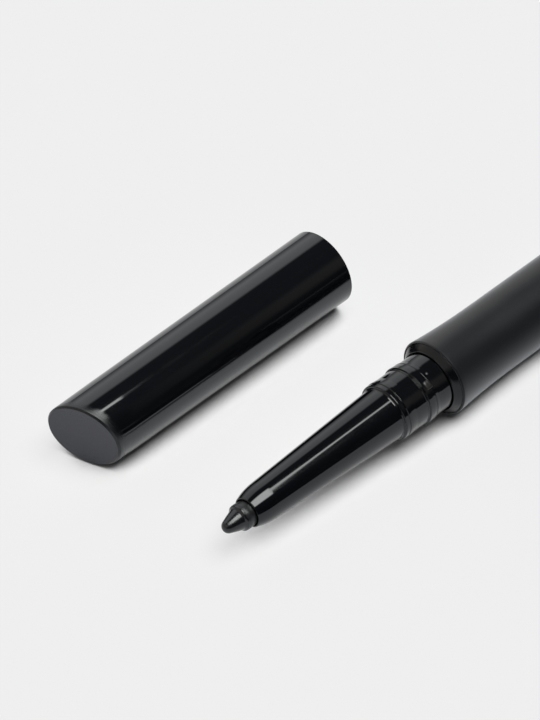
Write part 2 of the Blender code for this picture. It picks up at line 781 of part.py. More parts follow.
pieces = [
    barrel_sleeve(soft_black, pencil_axis),
    front_collar(collar_black, pencil_axis),
    tail_plug(plug_black, pencil_axis),
    spiral_sleeve(white_plastic, pencil_axis),
    nozzle(gloss_black, nozzle_axis),
    retaining_ring(grey_plastic, nozzle_axis),
    friction_ring(rubber, nozzle_axis),
    guide_tube(clear_plastic, nozzle_axis),
    guide_end_cap(grey_plastic, nozzle_axis),
    lead_carrier(white_plastic, carrier_axis),
    lead(lead_black, carrier_axis),
    cap_shell(cap_black, cap_axis),
    cap_liner(grey_plastic, cap_axis),
]
for piece in pieces:
    smooth(piece)
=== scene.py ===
"""Retractable eyeliner pencil with its cap lying beside it, dressed for a studio picture.

The pencil's axis is the world X axis and its tip points to -X. Profiles are given as
(station, radius, corner) in millimetres. A station is the distance from the front plane
of the barrel, so what stands ahead of the barrel has a negative station.
"""

import math

import bmesh
import bpy
from mathutils import Matrix, Vector, noise


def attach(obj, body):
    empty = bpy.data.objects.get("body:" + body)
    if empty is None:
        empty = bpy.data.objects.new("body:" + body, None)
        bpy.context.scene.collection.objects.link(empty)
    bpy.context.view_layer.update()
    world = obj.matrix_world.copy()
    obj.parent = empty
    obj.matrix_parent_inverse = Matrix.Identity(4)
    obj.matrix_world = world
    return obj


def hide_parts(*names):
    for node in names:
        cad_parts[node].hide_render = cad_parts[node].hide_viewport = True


MM = 0.001

# Kinds of profile corner that stand in for a fillet radius
SMOOTH = -1.0
SHARP = 0.0

# A radius below this lies on the axis, and edges over this angle stay sharp, in degrees
ON_AXIS = 1e-6
FOOT_EDGE_ANGLE = 60

# Barrel, in millimetres like all sizes here
ORIGIN_STATION = 88.95
BARREL_LENGTH = 88.0
BARREL_RADIUS = 4.48
BORE_RADIUS = 3.85
RIM_RISE = 0.41
RIM_RADIUS = BARREL_RADIUS + RIM_RISE
RIM_FILLET = 0.187
FLARE_LENGTH = 9.3
FLARE_LEAD_IN = 0.6
TAIL_FILLET = 0.35
FLANGE_SEAT_RADIUS = 4.67
FLANGE_SEAT_DEPTH = 0.95
SPIGOT_SEAT_RADIUS = 4.15
SPIGOT_SEAT_DEPTH = 5.10

# Front collar
COLLAR_FRONT = -0.74
COLLAR_LIP_RADIUS = 3.94
COLLAR_SLOPE_FRONT = -0.66
COLLAR_SLOPE_REAR = -0.08
COLLAR_SLOPE_LENGTH = 0.60
COLLAR_SLOPE_RADIUS = 3.98
COLLAR_SLOPE_RISE = 0.58
COLLAR_SLOPE_POWER = 0.85
COLLAR_MOUTH_RADIUS = 3.83
COLLAR_MOUTH_DEPTH = 0.50
COLLAR_FLANGE_RADIUS = 4.62
COLLAR_FLANGE_DEPTH = 0.90
COLLAR_SPIGOT_RADIUS = 4.10
COLLAR_DEPTH = 3.40
BEARING_RADIUS = 3.76

# Tail plug
PLUG_BOSS_FRONT = 80.00
PLUG_BOSS_RADIUS = 3.80
PLUG_BORE_RADIUS = 2.90
PLUG_FLOOR_STATION = 87.10
PLUG_FLANGE_FRONT = 88.05
PLUG_FLANGE_RADIUS = 4.60
PLUG_EDGE = 0.30

# Nozzle, outside
NECK_RADIUS = 3.66
REAR_NECK_RADIUS = 3.73
CONE_BASE_RADIUS = 3.35
CONE_BASE_STATION = -8.30
CONE_LENGTH = 22.23
CONE_SLOPE = 0.0457
NOSE_LENGTH = 3.0
NOSE_POWER = 2.5
MOUTH_STATION = CONE_BASE_STATION - CONE_LENGTH
MOUTH_RADIUS = 1.90
MOUTH_BORE_RADIUS = 1.78
BEAD_RADIUS = 3.69
RIDGE_RADIUS = 3.745
RIDGE_STATION = -7.56
SNAP_BEAD_FRONT = -4.30
SNAP_BEAD_REAR = -3.30
SNAP_BEAD_RADIUS = 3.86
KEY_STATION = -3.55
KEY_ANGLE = 127.5
KEY_LENGTH = 0.95
KEY_WIDTH = 1.10
KEY_HEIGHT = 0.12
PIP_STATION = -2.62
PIP_ANGLE = 110.5
PIP_WIDTH = 0.50
PIP_HEIGHT = 0.06

# Nozzle, shank and inside
REAR_NECK_END = 0.30
SHANK_FRONT = 0.45
SHANK_REAR = 8.60
CLIP_GROOVE_FRONT = 3.85
CLIP_GROOVE_REAR = 4.75
CLIP_GROOVE_RADIUS = 3.20
SOFT_RING_GROOVE_FRONT = 6.10
SOFT_RING_GROOVE_REAR = 7.30
SOFT_RING_GROOVE_RADIUS = 2.90
GUIDE_SEAT_FRONT = -7.95
GUIDE_SEAT_RADIUS = 2.50
LEAD_WAY_FRONT = -26.47
LEAD_WAY_RADIUS = 2.05
MOUTH_BORE_REAR = -27.07

# Lead
LEAD_RADIUS = 1.68
LEAD_REAR = -10.32
LEAD_TIP_STATION = -34.32
LEAD_TIP_RADIUS = 0.84
LEAD_TIP_TURN = 66.0
LEAD_CONE_FRONT = -32.9
LEAD_CONE_REAR = -32.1
LEAD_CONE_RADIUS = 1.085
LEAD_CONE_SLOPE = 0.31
LEAD_STEP_FRONT = -32.04
LEAD_STEP_LENGTH = 0.26
LEAD_STEP_RADIUS = 1.37
LEAD_STEP_RISE = 0.26
LEAD_BAND_FRONT = -31.72
LEAD_BAND_REAR = -30.90
LEAD_BAND_CREST = -31.45
LEAD_BAND_RADIUS = 1.655
LEAD_BAND_HALF = 0.30
LEAD_BAND_FALL = 0.02
LEAD_WAIST = ((-30.7, 1.60), (-30.4, 1.56), (-29.8, 1.60))
LEAD_ROD_FRONT = -29.0
LEAD_WORN_STATION = -31.65
LEAD_WORN_REACH = 1.2
LEAD_LUMP_SIZE = 0.85
LEAD_LUMP_SHARE = 0.028
LEAD_RING_LENGTH = 0.13
LEAD_RING_WIDTH = 0.9
LEAD_RING_SHARE = 0.012
LEAD_SCUFF_STATION = -31.8

# Cap, whose own stations run from its mouth at zero to its end
CAP_MOUTH_RADIUS = 4.84
CAP_MOUTH_LIP = 0.22
CAP_MOUTH_CHAMFER = 0.40
CAP_END_RADIUS = 4.60
CAP_LENGTH = 39.43
CAP_BORE_RADIUS = 4.34
CAP_BORE_DEPTH = 35.87
CAP_CUT_ANGLE = 18.1
CAP_CUT_TURN = 15.1
CAP_NARROWING = 0.24
CAP_TAPER = 0.012
CAP_TAPER_LENGTH = 4.4
CAP_END_CURVE = 1.75
CAP_END_DROP = 0.014
CAP_END_BEVEL = 0.22
CAP_SHEAR_START = 3.5
CAP_MOUTH_STATION = 4.41
CAP_ASIDE = 22.29
CAP_YAW = 0.24

# Liner, in the cap's stations
LINER_RADIUS = 4.29
LINER_GRIP_RADIUS = 3.94
LINER_SNAP_RADIUS = 3.89
LINER_END_RADIUS = 3.30
LINER_FLOOR_RADIUS = 2.951
LINER_FRONT = -1.50
LINER_GRIP_END = -10.00
LINER_NECK = -10.35
LINER_FLOOR = -35.12
LINER_END = -35.82

# Painted light on the barrel, paler where the light falls: how far a place lies upward and
# towards the cap, in barrel radii, and the painted colour there
PAINTED_LIGHT_REACH = 1.40
PAINTED_LIGHT_TONES = (
    (0.10, (0.0020, 0.0027, 0.0039)),
    (0.50, (0.0048, 0.0060, 0.0079)),
    (0.90, (0.0073, 0.0086, 0.0107)),
    (1.05, (0.0120, 0.0130, 0.0148)),
    (1.15, (0.0174, 0.0180, 0.0192)),
    (1.30, (0.0225, 0.0230, 0.0240)),
)

# Floor: its height, the gap under the rim, and half its side in metres
TABLE = -RIM_RADIUS
FLOOR_GAP = 0.01
FLOOR_HALF_SIZE = 4.0

# The level at which an open place shows, how much of it that is, and what counts as open
FLOOR_WHITE = 0.863
FLOOR_WHITE_SHARE = 0.75
FLOOR_OPEN_SPAN = (0.44, 0.62)

# Painted light: beside the barrel, from the rim on, the floor's painted shade is lifted a little,
# so it shows paler there
FLOOR_PAINTED_LIFT = 0.085
FLOOR_LIFT_DIRECTION = (1.0, -0.5, 0.0)
FLOOR_LIFT_SPAN = (-89.0, -76.0)

# How far a shadow reaches, and the floor's painted shade: its tone against how open a place lies
FLOOR_SHADOW_REACH = 20.0
FLOOR_TINT = (0.96, 0.99, 1.07)
FLOOR_PAINTED_SHADE_TONES = (
    (0.12, 0.52),
    (0.20, 0.28),
    (0.28, 0.28),
    (0.33, 0.45),
    (0.38, 0.70),
    (0.43, 0.79),
    (0.55, 0.74),
    (0.75, 0.70),
    (1.0, 0.605),
)

# The picture's camera: millimetres and degrees, with its near and far limits in metres
CAMERA_TARGET = (-96.6005, 19.1288, -4.9394)
CAMERA_AZIMUTH = -45.155
CAMERA_ELEVATION = 44.342
CAMERA_DISTANCE = 600.0
CAMERA_LENS = 254.88
CAMERA_NEAR = 0.01
CAMERA_FAR = 20.0

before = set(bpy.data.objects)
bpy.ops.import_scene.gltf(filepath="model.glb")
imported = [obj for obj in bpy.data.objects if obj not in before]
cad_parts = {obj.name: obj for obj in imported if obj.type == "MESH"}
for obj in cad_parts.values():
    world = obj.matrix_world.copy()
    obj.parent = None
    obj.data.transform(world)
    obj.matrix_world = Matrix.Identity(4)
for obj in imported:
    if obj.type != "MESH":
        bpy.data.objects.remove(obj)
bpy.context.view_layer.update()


def unit(vector):
    """Return a 2-D vector at length one."""
    length = math.hypot(*vector)
    return (vector[0] / length, vector[1] / length)


def side(start, end):
    """Return the outward normal of a profile's stretch that runs from front to rear."""
    run = unit((end[0] - start[0], end[1] - start[1]))
    return (-run[1], run[0])


def traced(corners, closed, steps=6):
    """Turn profile corners into (point, normal before, normal after) with arcs.

    The third value of a corner is its fillet radius, SHARP or SMOOTH.
    """
    count = len(corners)
    points = [corner[:2] for corner in corners]
    made = []
    for index, (station, radius, kind) in enumerate(corners):
        open_end = not closed and index in (0, count - 1)
        before = side(points[index - 1], points[index]) if closed or index else None
        after = None
        if closed or index < count - 1:
            after = side(points[index], points[(index + 1) % count])
        if open_end:
            normal = after if index == 0 else before
            made.append(((station, radius), normal, normal))
        elif kind == SHARP:
            made.append(((station, radius), before, after))
        elif kind == SMOOTH:
            middle = unit((before[0] + after[0], before[1] + after[1]))
            made.append(((station, radius), middle, middle))
        else:
            turn = math.atan2(
                before[0] * after[1] - before[1] * after[0],
                before[0] * after[0] + before[1] * after[1],
            )
            middle = unit((before[0] + after[0], before[1] + after[1]))
            bulge = -math.copysign(1, turn)
            reach = kind / math.cos(turn / 2)
            centre = (station - bulge * middle[0] * reach, radius - bulge * middle[1] * reach)
            for step in range(steps + 1):
                angle = turn * step / steps
                normal = (
                    before[0] * math.cos(angle) - before[1] * math.sin(angle),
                    before[0] * math.sin(angle) + before[1] * math.cos(angle),
                )
                point = (
                    centre[0] + bulge * normal[0] * kind,
                    centre[1] + bulge * normal[1] * kind,
                )
                made.append((point, normal, normal))
    return made


def curve(function, start, end, count, kind=SMOOTH):
    """Return profile corners sampled from a radius function."""
    corners = []
    for index in range(count + 1):
        station = start + (end - start) * index / count
        corners.append((station, function(station), kind))
    return corners


def spun_points(profile, directions, shift):
    """Return the points of a turned profile and each ring's point numbers.

    A profile point on the axis gives one point, which its whole ring shares.
    """
    sides = len(directions)
    vertices = []
    rings = []
    for (station, radius), _, _ in profile:
        if radius < ON_AXIS:
            rings.append([len(vertices)] * sides)
            vertices.append(((station - shift) * MM, 0.0, 0.0))
            continue
        rings.append(list(range(len(vertices), len(vertices) + sides)))
        for along, up in directions:
            vertices.append(((station - shift) * MM, radius * along * MM, radius * up * MM))
    return vertices, rings


def spun_faces(profile, directions, rings, closed):
    """Return the faces of a turned profile and a normal for each of their corners."""
    sides = len(directions)
    faces = []
    normals = []
    pairs = list(zip(range(len(profile) - 1), range(1, len(profile))))
    if closed:
        pairs.append((len(profile) - 1, 0))
    for first, second in pairs:
        early = profile[first][2]
        late = profile[second][1]
        for index in range(sides):
            other = (index + 1) % sides
            corners_of_face = (
                (rings[first][index], early, index),
                (rings[first][other], early, other),
                (rings[second][other], late, other),
                (rings[second][index], late, index),
            )
            face = []
            face_normals = []
            for vertex, normal, spoke in corners_of_face:
                if vertex in face:
                    continue
                face.append(vertex)
                along, up = directions[spoke]
                face_normals.append((normal[0], normal[1] * along, normal[1] * up))
            if len(face) < 3:
                continue
            faces.append(face)
            normals.extend(face_normals)
    return faces, normals


def add_object(name, data):
    """Put a mesh or a camera in the scene as an object."""
    item = bpy.data.objects.new(name, data)
    bpy.context.scene.collection.objects.link(item)
    return item


def turned(
    name,
    corners,
    closed=True,
    sides=192,
    steps=6,
    reshape=None,
    shift=0.0,
    place=None,
    exact=True,
):
    """Turn a profile round the X axis and give it exact normals.

    reshape moves a point and its normal after the turn, and place then moves the whole mesh.
    """
    profile = traced(corners, closed, steps)
    directions = [
        (math.cos(math.tau * index / sides), math.sin(math.tau * index / sides))
        for index in range(sides)
    ]
    vertices, rings = spun_points(profile, directions, shift)
    faces, normals = spun_faces(profile, directions, rings, closed)
    mesh = bpy.data.meshes.new(name)
    mesh.from_pydata(vertices, [], faces)
    if reshape:
        loop_vertices = [vertex for face in faces for vertex in face]
        bent = []
        for vertex, normal in zip(loop_vertices, normals):
            bent.append(reshape(vertices[vertex], normal)[1])
        normals = bent
        for vertex in mesh.vertices:
            vertex.co = reshape(tuple(vertex.co), (1.0, 0.0, 0.0))[0]
    if place:
        mesh.transform(place)
        normals = [place.to_3x3() @ Vector(normal) for normal in normals]
    mesh.shade_smooth()
    if exact:
        mesh.normals_split_custom_set([Vector(normal).normalized() for normal in normals])
    return add_object(name, mesh)


def closed_piece(name, bm):
    """Make an object of a small closed form, smooth but for its foot."""
    bmesh.ops.recalc_face_normals(bm, faces=bm.faces)
    mesh = bpy.data.meshes.new(name)
    bm.to_mesh(mesh)
    bm.free()
    mesh.shade_smooth()
    mesh.set_sharp_from_angle(angle=math.radians(FOOT_EDGE_ANGLE))
    return add_object(name, mesh)


def finish_piece(piece, body, material, replaces=()):
    """Give a piece its material and its body, and hide the nodes it replaces."""
    piece.data.materials.append(material)
    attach(piece, body)
    if replaces:
        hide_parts(*replaces)
    return piece


# Materials

# Colour of the gloss black plastic, and tints of reflections
BLACK = (0.0009, 0.0011, 0.0015)
COOL = (0.88, 0.93, 1.0)
COOLER = (0.78, 0.83, 1.0)

# Most values of a noise lie between these
NOISE_LOW = 0.3
NOISE_HIGH = 0.7

# The cap's haze fades out between these distances behind the cut of its end
HAZE_FADE_START = 0.1
HAZE_FADE_END = 1.4


def new_material(name, colour, roughness, ior=1.5):
    """Return a material, its node tree, its shader and its object coordinates.

    colour and roughness are its plain values, where no texture drives them.
    """
    material = bpy.data.materials.new(name)
    material.use_nodes = True
    tree = material.node_tree
    shader = tree.nodes["Principled BSDF"]
    shader.inputs["Base Color"].default_value = (*colour, 1.0)
    shader.inputs["Roughness"].default_value = roughness
    shader.inputs["IOR"].default_value = ior
    coordinates = tree.nodes.new("ShaderNodeTexCoord").outputs["Object"]
    return material, tree, shader, coordinates


def stretched(tree, vector, scale):
    """Return coordinates scaled by (x, y, z)."""
    mapping = tree.nodes.new("ShaderNodeMapping")
    mapping.inputs["Scale"].default_value = scale
    tree.links.new(vector, mapping.inputs["Vector"])
    return mapping.outputs["Vector"]


def clouds(tree, vector, size, detail=3.0, roughness=0.5):
    """Return noise whose grains are about size millimetres."""
    texture = tree.nodes.new("ShaderNodeTexNoise")
    texture.inputs["Scale"].default_value = 1.0 / (size * MM)
    texture.inputs["Detail"].default_value = detail
    texture.inputs["Roughness"].default_value = roughness
    tree.links.new(vector, texture.inputs["Vector"])
    return texture.outputs["Fac"]


def along_direction(tree, where, direction):
    """Return how far a place lies along a direction."""
    node = tree.nodes.new("ShaderNodeVectorMath")
    node.operation = "DOT_PRODUCT"
    node.inputs[1].default_value = direction
    tree.links.new(where, node.inputs[0])
    return node.outputs["Value"]


def spread(tree, value, low, high, start=NOISE_LOW, end=NOISE_HIGH):
    """Map a value between start and end, such as a noise, to a range."""
    node = tree.nodes.new("ShaderNodeMapRange")
    node.inputs["From Min"].default_value = start
    node.inputs["From Max"].default_value = end
    node.inputs["To Min"].default_value = low
    node.inputs["To Max"].default_value = high
    tree.links.new(value, node.inputs["Value"])
    return node.outputs["Result"]


def smooth_step(tree, value, start, end):
    """Return 0 before start and 1 after end, smoothly joined."""
    node = tree.nodes.new("ShaderNodeMapRange")
    node.interpolation_type = "SMOOTHSTEP"
    node.inputs["From Min"].default_value = start
    node.inputs["From Max"].default_value = end
    tree.links.new(value, node.inputs["Value"])
    return node.outputs["Result"]


def combine(tree, operation, first, second):
    """Return two values joined by a Math node."""
    node = tree.nodes.new("ShaderNodeMath")
    node.operation = operation
    for socket, value in zip(node.inputs, (first, second)):
        if isinstance(value, float):
            socket.default_value = value
        else:
            tree.links.new(value, socket)
    return node.outputs["Value"]


def product(tree, first, *others):
    """Return the product of several values."""
    result = first
    for other in others:
        result = combine(tree, "MULTIPLY", result, other)
    return result


def ramped(tree, value, stops):
    """Return the colour that a value picks between stops of (position, colour)."""
    ramp = tree.nodes.new("ShaderNodeValToRGB")
    elements = ramp.color_ramp.elements
    while len(elements) < len(stops):
        elements.new(0.5)
    for element, (position, colour) in zip(elements, stops):
        element.position = position
        element.color = (*colour, 1.0)
    tree.links.new(value, ramp.inputs["Fac"])
    return ramp.outputs["Color"]


def tinted(tree, value, dark, light, shader):
    """Drive the base colour between two colours."""
    colour = ramped(tree, value, ((NOISE_LOW, dark), (NOISE_HIGH, light)))
    tree.links.new(colour, shader.inputs["Base Color"])


def bumped(tree, height, depth, strength=1.0, under=None):
    """Return a normal raised by a height; depth is in millimetres."""
    bump = tree.nodes.new("ShaderNodeBump")
    bump.inputs["Strength"].default_value = strength
    bump.inputs["Distance"].default_value = depth * MM
    tree.links.new(height, bump.inputs["Height"])
    if under is not None:
        tree.links.new(under, bump.inputs["Normal"])
    return bump.outputs["Normal"]


def cut_slopes():
    """Return how far the cap's slanted end runs along X for each step along Y and Z."""
    slope = math.tan(math.radians(CAP_CUT_ANGLE))
    turn = math.radians(CAP_CUT_TURN)
    return slope * math.cos(turn), slope * math.sin(turn)


def cut_haze(tree, where, amount):
    """Return roughness that fades out behind the slanted cut of the cap's end."""
    slope_y, slope_z = cut_slopes()
    ahead = along_direction(tree, where, (1.0, slope_y, slope_z))
    end = (CAP_MOUTH_STATION - ORIGIN_STATION - CAP_LENGTH + slope_y * CAP_ASIDE) * MM
    fade_start = end + HAZE_FADE_START * MM
    fade_end = end + HAZE_FADE_END * MM
    return spread(tree, ahead, amount, 0.0, fade_start, fade_end)


def soft_touch_paint():
    """Matte rubbery lacquer with a fine grain, and painted light that makes it paler above and
    towards the cap.
    """
    material, tree, shader, where = new_material(
        "soft_touch_paint", PAINTED_LIGHT_TONES[0][1], roughness=0.42, ior=1.24
    )
    patches = clouds(tree, where, size=6.0, detail=4.0)
    grain = clouds(tree, where, size=0.09, detail=2.0)
    # Painted light: the base colour is painted paler upward and towards the cap, where the light
    # falls
    towards_cap = along_direction(tree, where, (0.0, 1.0, 1.0))
    reach = PAINTED_LIGHT_REACH * BARREL_RADIUS * MM
    painted_light = spread(tree, towards_cap, 0.0, 1.0, start=0.0, end=reach)
    painted_light_and_mottling = combine(tree, "ADD", painted_light, spread(tree, patches, -0.06, 0.06))
    stops = [(place / PAINTED_LIGHT_REACH, colour) for place, colour in PAINTED_LIGHT_TONES]
    tree.links.new(ramped(tree, painted_light_and_mottling, stops), shader.inputs["Base Color"])
    shader.inputs["Specular Tint"].default_value = (*COOL, 1.0)
    shader.inputs["Sheen Weight"].default_value = 0.58
    shader.inputs["Sheen Roughness"].default_value = 0.40
    shader.inputs["Sheen Tint"].default_value = (0.85, 0.90, 1.0, 1.0)
    tree.links.new(spread(tree, patches, 0.41, 0.47), shader.inputs["Roughness"])
    normal = bumped(tree, grain, depth=0.003, strength=0.5)
    tree.links.new(normal, shader.inputs["Normal"])
    return material


def gloss_plastic(name, colour, roughness, wave_size, wave_depth, ior=1.5, end_haze=0.0):
    """Moulded glossy plastic with slow waves and faint rubbing marks.

    end_haze is extra roughness beside the slanted cut of the cap's closed end.
    """
    material, tree, shader, where = new_material(name, colour, roughness, ior)
    waves = clouds(tree, stretched(tree, where, (0.35, 1.0, 1.0)), wave_size, detail=1.0)
    rubbed_along = stretched(tree, where, (0.15, 1.0, 1.0))
    rubs = clouds(tree, rubbed_along, size=0.7, detail=5.0, roughness=0.65)
    gloss = spread(tree, rubs, roughness * 0.75, roughness * 1.45)
    if end_haze:
        gloss = combine(tree, "ADD", gloss, cut_haze(tree, where, end_haze))
    tree.links.new(gloss, shader.inputs["Roughness"])
    rubbed_colour = tuple(value * 1.4 for value in colour)
    tinted(tree, rubs, colour, rubbed_colour, shader)
    tree.links.new(bumped(tree, waves, wave_depth), shader.inputs["Normal"])
    shader.inputs["Specular Tint"].default_value = (*COOL, 1.0)
    return material


def end_face_plastic():
    """The cap's flat end, less polished than its side, with painted light that makes it paler
    towards its top.
    """
    low_colour = (0.001, 0.001, 0.0015)
    painted_top_light_colour = (0.027, 0.027, 0.032)
    material, tree, shader, where = new_material("cap_end_satin", low_colour, roughness=0.22)
    haze = clouds(tree, where, size=0.35, detail=5.0, roughness=0.6)
    tree.links.new(spread(tree, haze, 0.18, 0.28), shader.inputs["Roughness"])
    # Painted light: the base colour is painted paler towards the top of the end face, as if lit
    # from above
    up = along_direction(tree, where, (0.0, 0.0, 1.0))
    height = spread(tree, up, NOISE_LOW, NOISE_HIGH, TABLE * MM, CAP_END_RADIUS * MM)
    painted_top_light_and_haze = combine(tree, "ADD", height, spread(tree, haze, -0.04, 0.04))
    tinted(tree, painted_top_light_and_haze, low_colour, painted_top_light_colour, shader)
    grain = clouds(tree, where, size=0.12, detail=2.0)
    tree.links.new(bumped(tree, grain, depth=0.001, strength=0.5), shader.inputs["Normal"])
    shader.inputs["Specular Tint"].default_value = (*COOLER, 1.0)
    return material


def waxy_lead():
    """Satin black cosmetic lead, slightly uneven and scuffed behind its shoulder."""
    dark = (0.0018, 0.0019, 0.0023)
    light = (0.0042, 0.0045, 0.0052)
    material, tree, shader, where = new_material("waxy_lead", dark, roughness=0.22, ior=1.56)
    lumps = clouds(tree, where, size=0.55, detail=3.0, roughness=0.6)
    pores = clouds(tree, where, size=0.12, detail=4.0, roughness=0.7)
    tinted(tree, lumps, dark, light, shader)
    along = along_direction(tree, where, (1.0, 0.0, 0.0))
    shoulder = (LEAD_SCUFF_STATION - ORIGIN_STATION) * MM
    scuffs = spread(tree, along, 0.0, 0.18, shoulder, shoulder + 0.15 * MM)
    gloss = combine(tree, "ADD", spread(tree, pores, 0.15, 0.28), scuffs)
    tree.links.new(gloss, shader.inputs["Roughness"])
    shader.inputs["Specular Tint"].default_value = (*COOL, 1.0)
    normal = bumped(tree, lumps, depth=0.02, strength=0.7)
    normal = bumped(tree, pores, depth=0.004, strength=0.6, under=normal)
    tree.links.new(normal, shader.inputs["Normal"])
    return material


def moulded_plastic(name, dark, light, roughness, clear=0.0):
    """Plain moulded plastic for what sits inside; clear is how milky it is."""
    material, tree, shader, where = new_material(name, light, roughness)
    patches = clouds(tree, where, size=2.5, detail=4.0)
    grain = clouds(tree, where, size=0.15, detail=3.0)
    tinted(tree, patches, dark, light, shader)
    satin = spread(tree, grain, roughness * 0.85, roughness * 1.15)
    tree.links.new(satin, shader.inputs["Roughness"])
    tree.links.new(bumped(tree, grain, depth=0.004, strength=0.5), shader.inputs["Normal"])
    shader.inputs["Subsurface Weight"].default_value = clear
    shader.inputs["Subsurface Scale"].default_value = 0.5 * MM
    return material


SOFT_TOUCH = soft_touch_paint()
NOZZLE_GLOSS = gloss_plastic(
    "nozzle_gloss", BLACK, roughness=0.05, wave_size=5.0, wave_depth=0.006
)
KEY_SATIN = gloss_plastic(
    "key_satin", (0.004, 0.0035, 0.003), roughness=0.30, wave_size=1.0, wave_depth=0.004
)
COLLAR_GLOSS = gloss_plastic(
    "collar_gloss", BLACK, roughness=0.19, wave_size=3.0, wave_depth=0.003, ior=1.43
)
CAP_GLOSS = gloss_plastic(
    "cap_gloss", BLACK, roughness=0.045, wave_size=9.0, wave_depth=0.012, ior=1.58, end_haze=0.40
)
PLUG_GLOSS = gloss_plastic(
    "plug_gloss", (0.005, 0.005, 0.0055), roughness=0.10, wave_size=4.0, wave_depth=0.004
)
END_SATIN = end_face_plastic()
BEVEL_SATIN = gloss_plastic(
    "cap_bevel_satin", BLACK, roughness=0.36, wave_size=1.0, wave_depth=0.002
)
LEAD_WAX = waxy_lead()
GREY_PLASTIC = moulded_plastic("liner_grey", (0.16, 0.16, 0.17), (0.21, 0.21, 0.22), 0.40)
WHITE_PLASTIC = moulded_plastic(
    "drive_white", (0.58, 0.58, 0.56), (0.66, 0.66, 0.64), 0.42, clear=0.1
)
NATURAL_PLASTIC = moulded_plastic(
    "guide_natural", (0.45, 0.46, 0.47), (0.52, 0.53, 0.54), 0.35, clear=0.15
)
RUBBER = moulded_plastic("ring_rubber", (0.022, 0.022, 0.022), (0.035, 0.035, 0.035), 0.70)


# Pieces of the barrel


def flare_radius(distance):
    """Outer radius of the barrel at a distance behind its widest plane."""
    share = min(distance / FLARE_LENGTH, 1.0)
    return BARREL_RADIUS + RIM_RISE * (1 - share) ** 2


def barrel_skin():
    """The matte sleeve, flared at both ends."""
    front = RIM_FILLET
    rear = BARREL_LENGTH - TAIL_FILLET

    def front_flare(station):
        return flare_radius(station - front)

    def tail_flare(station):
        return flare_radius(rear - station)

    corners = [
        (0.0, FLANGE_SEAT_RADIUS, 0.02),
        (0.0, RIM_RADIUS, RIM_FILLET * 0.93),
        (front * 1.4, RIM_RADIUS, SMOOTH),
    ]
    corners += curve(front_flare, front + FLARE_LEAD_IN, front + FLARE_LENGTH, 24)
    corners += curve(tail_flare, rear - FLARE_LENGTH, rear - FLARE_LEAD_IN, 24)
    corners += [
        (rear - TAIL_FILLET * 0.4, RIM_RADIUS, SMOOTH),
        (BARREL_LENGTH, RIM_RADIUS, TAIL_FILLET * 0.9),
        (BARREL_LENGTH, BORE_RADIUS, SHARP),
        (SPIGOT_SEAT_DEPTH, BORE_RADIUS, SHARP),
        (SPIGOT_SEAT_DEPTH, SPIGOT_SEAT_RADIUS, SHARP),
        (FLANGE_SEAT_DEPTH, SPIGOT_SEAT_RADIUS, SHARP),
        (FLANGE_SEAT_DEPTH, FLANGE_SEAT_RADIUS, SHARP),
    ]
    piece = turned("barrel_skin", corners, shift=ORIGIN_STATION, sides=256)
    return finish_piece(piece, "barrel", SOFT_TOUCH, ["barrel_sleeve"])


def collar_slope(station):
    """Outer radius of the collar's rounded slope."""
    share = (station - COLLAR_SLOPE_FRONT) / COLLAR_SLOPE_LENGTH
    return COLLAR_SLOPE_RADIUS + COLLAR_SLOPE_RISE * share ** COLLAR_SLOPE_POWER


def collar_skin():
    """The sloping glossy collar round the neck."""
    corners = [
        (COLLAR_FRONT, COLLAR_MOUTH_RADIUS, 0.03),
        (COLLAR_FRONT, COLLAR_LIP_RADIUS, 0.05),
    ]
    corners += curve(collar_slope, COLLAR_SLOPE_FRONT, COLLAR_SLOPE_REAR, 14)
    corners += [
        (0.0, COLLAR_FLANGE_RADIUS, 0.07),
        (COLLAR_FLANGE_DEPTH, COLLAR_FLANGE_RADIUS, SHARP),
        (COLLAR_FLANGE_DEPTH, COLLAR_SPIGOT_RADIUS, SHARP),
        (COLLAR_DEPTH, COLLAR_SPIGOT_RADIUS, SHARP),
        (COLLAR_DEPTH, BEARING_RADIUS, SHARP),
        (COLLAR_MOUTH_DEPTH, BEARING_RADIUS, SHARP),
        (COLLAR_MOUTH_DEPTH, COLLAR_MOUTH_RADIUS, SHARP),
    ]
    piece = turned("collar_skin", corners, shift=ORIGIN_STATION)
    return finish_piece(piece, "barrel", COLLAR_GLOSS, ["front_collar"])


def tail_button():
    """The plug in the barrel's tail."""
    corners = [
        (PLUG_FLOOR_STATION, 0.0, SHARP),
        (PLUG_FLOOR_STATION, PLUG_BORE_RADIUS, 0.1),
        (PLUG_BOSS_FRONT, PLUG_BORE_RADIUS, SHARP),
        (PLUG_BOSS_FRONT, PLUG_BOSS_RADIUS, 0.1),
        (PLUG_FLANGE_FRONT, PLUG_BOSS_RADIUS, SHARP),
        (PLUG_FLANGE_FRONT, PLUG_FLANGE_RADIUS, 0.05),
        (ORIGIN_STATION, PLUG_FLANGE_RADIUS, PLUG_EDGE),
        (ORIGIN_STATION, 0.0, SHARP),
    ]
    piece = turned("tail_button", corners, closed=False, shift=ORIGIN_STATION)
    return finish_piece(piece, "barrel", PLUG_GLOSS, ["tail_plug"])


# Pieces of the nozzle


def cone_radius(station):
    """Outer radius of the nozzle's cone, with its rounded nose."""
    straight = CONE_BASE_RADIUS + (station - CONE_BASE_STATION) * CONE_SLOPE
    at_mouth = CONE_BASE_RADIUS - CONE_LENGTH * CONE_SLOPE
    share = min((station - MOUTH_STATION) / NOSE_LENGTH, 1.0)
    return straight - (at_mouth - MOUTH_RADIUS) * (1 - share) ** NOSE_POWER


def nozzle_nose():
    """Profile of the nozzle's mouth and its rounded nose."""
    corners = [
        (MOUTH_STATION, MOUTH_BORE_RADIUS, 0.02),
        (MOUTH_STATION, MOUTH_RADIUS - 0.03, SMOOTH),
        (MOUTH_STATION + 0.012, MOUTH_RADIUS - 0.008, SMOOTH),
    ]
    corners += curve(cone_radius, MOUTH_STATION + 0.05, MOUTH_STATION + NOSE_LENGTH, 36)
    return corners


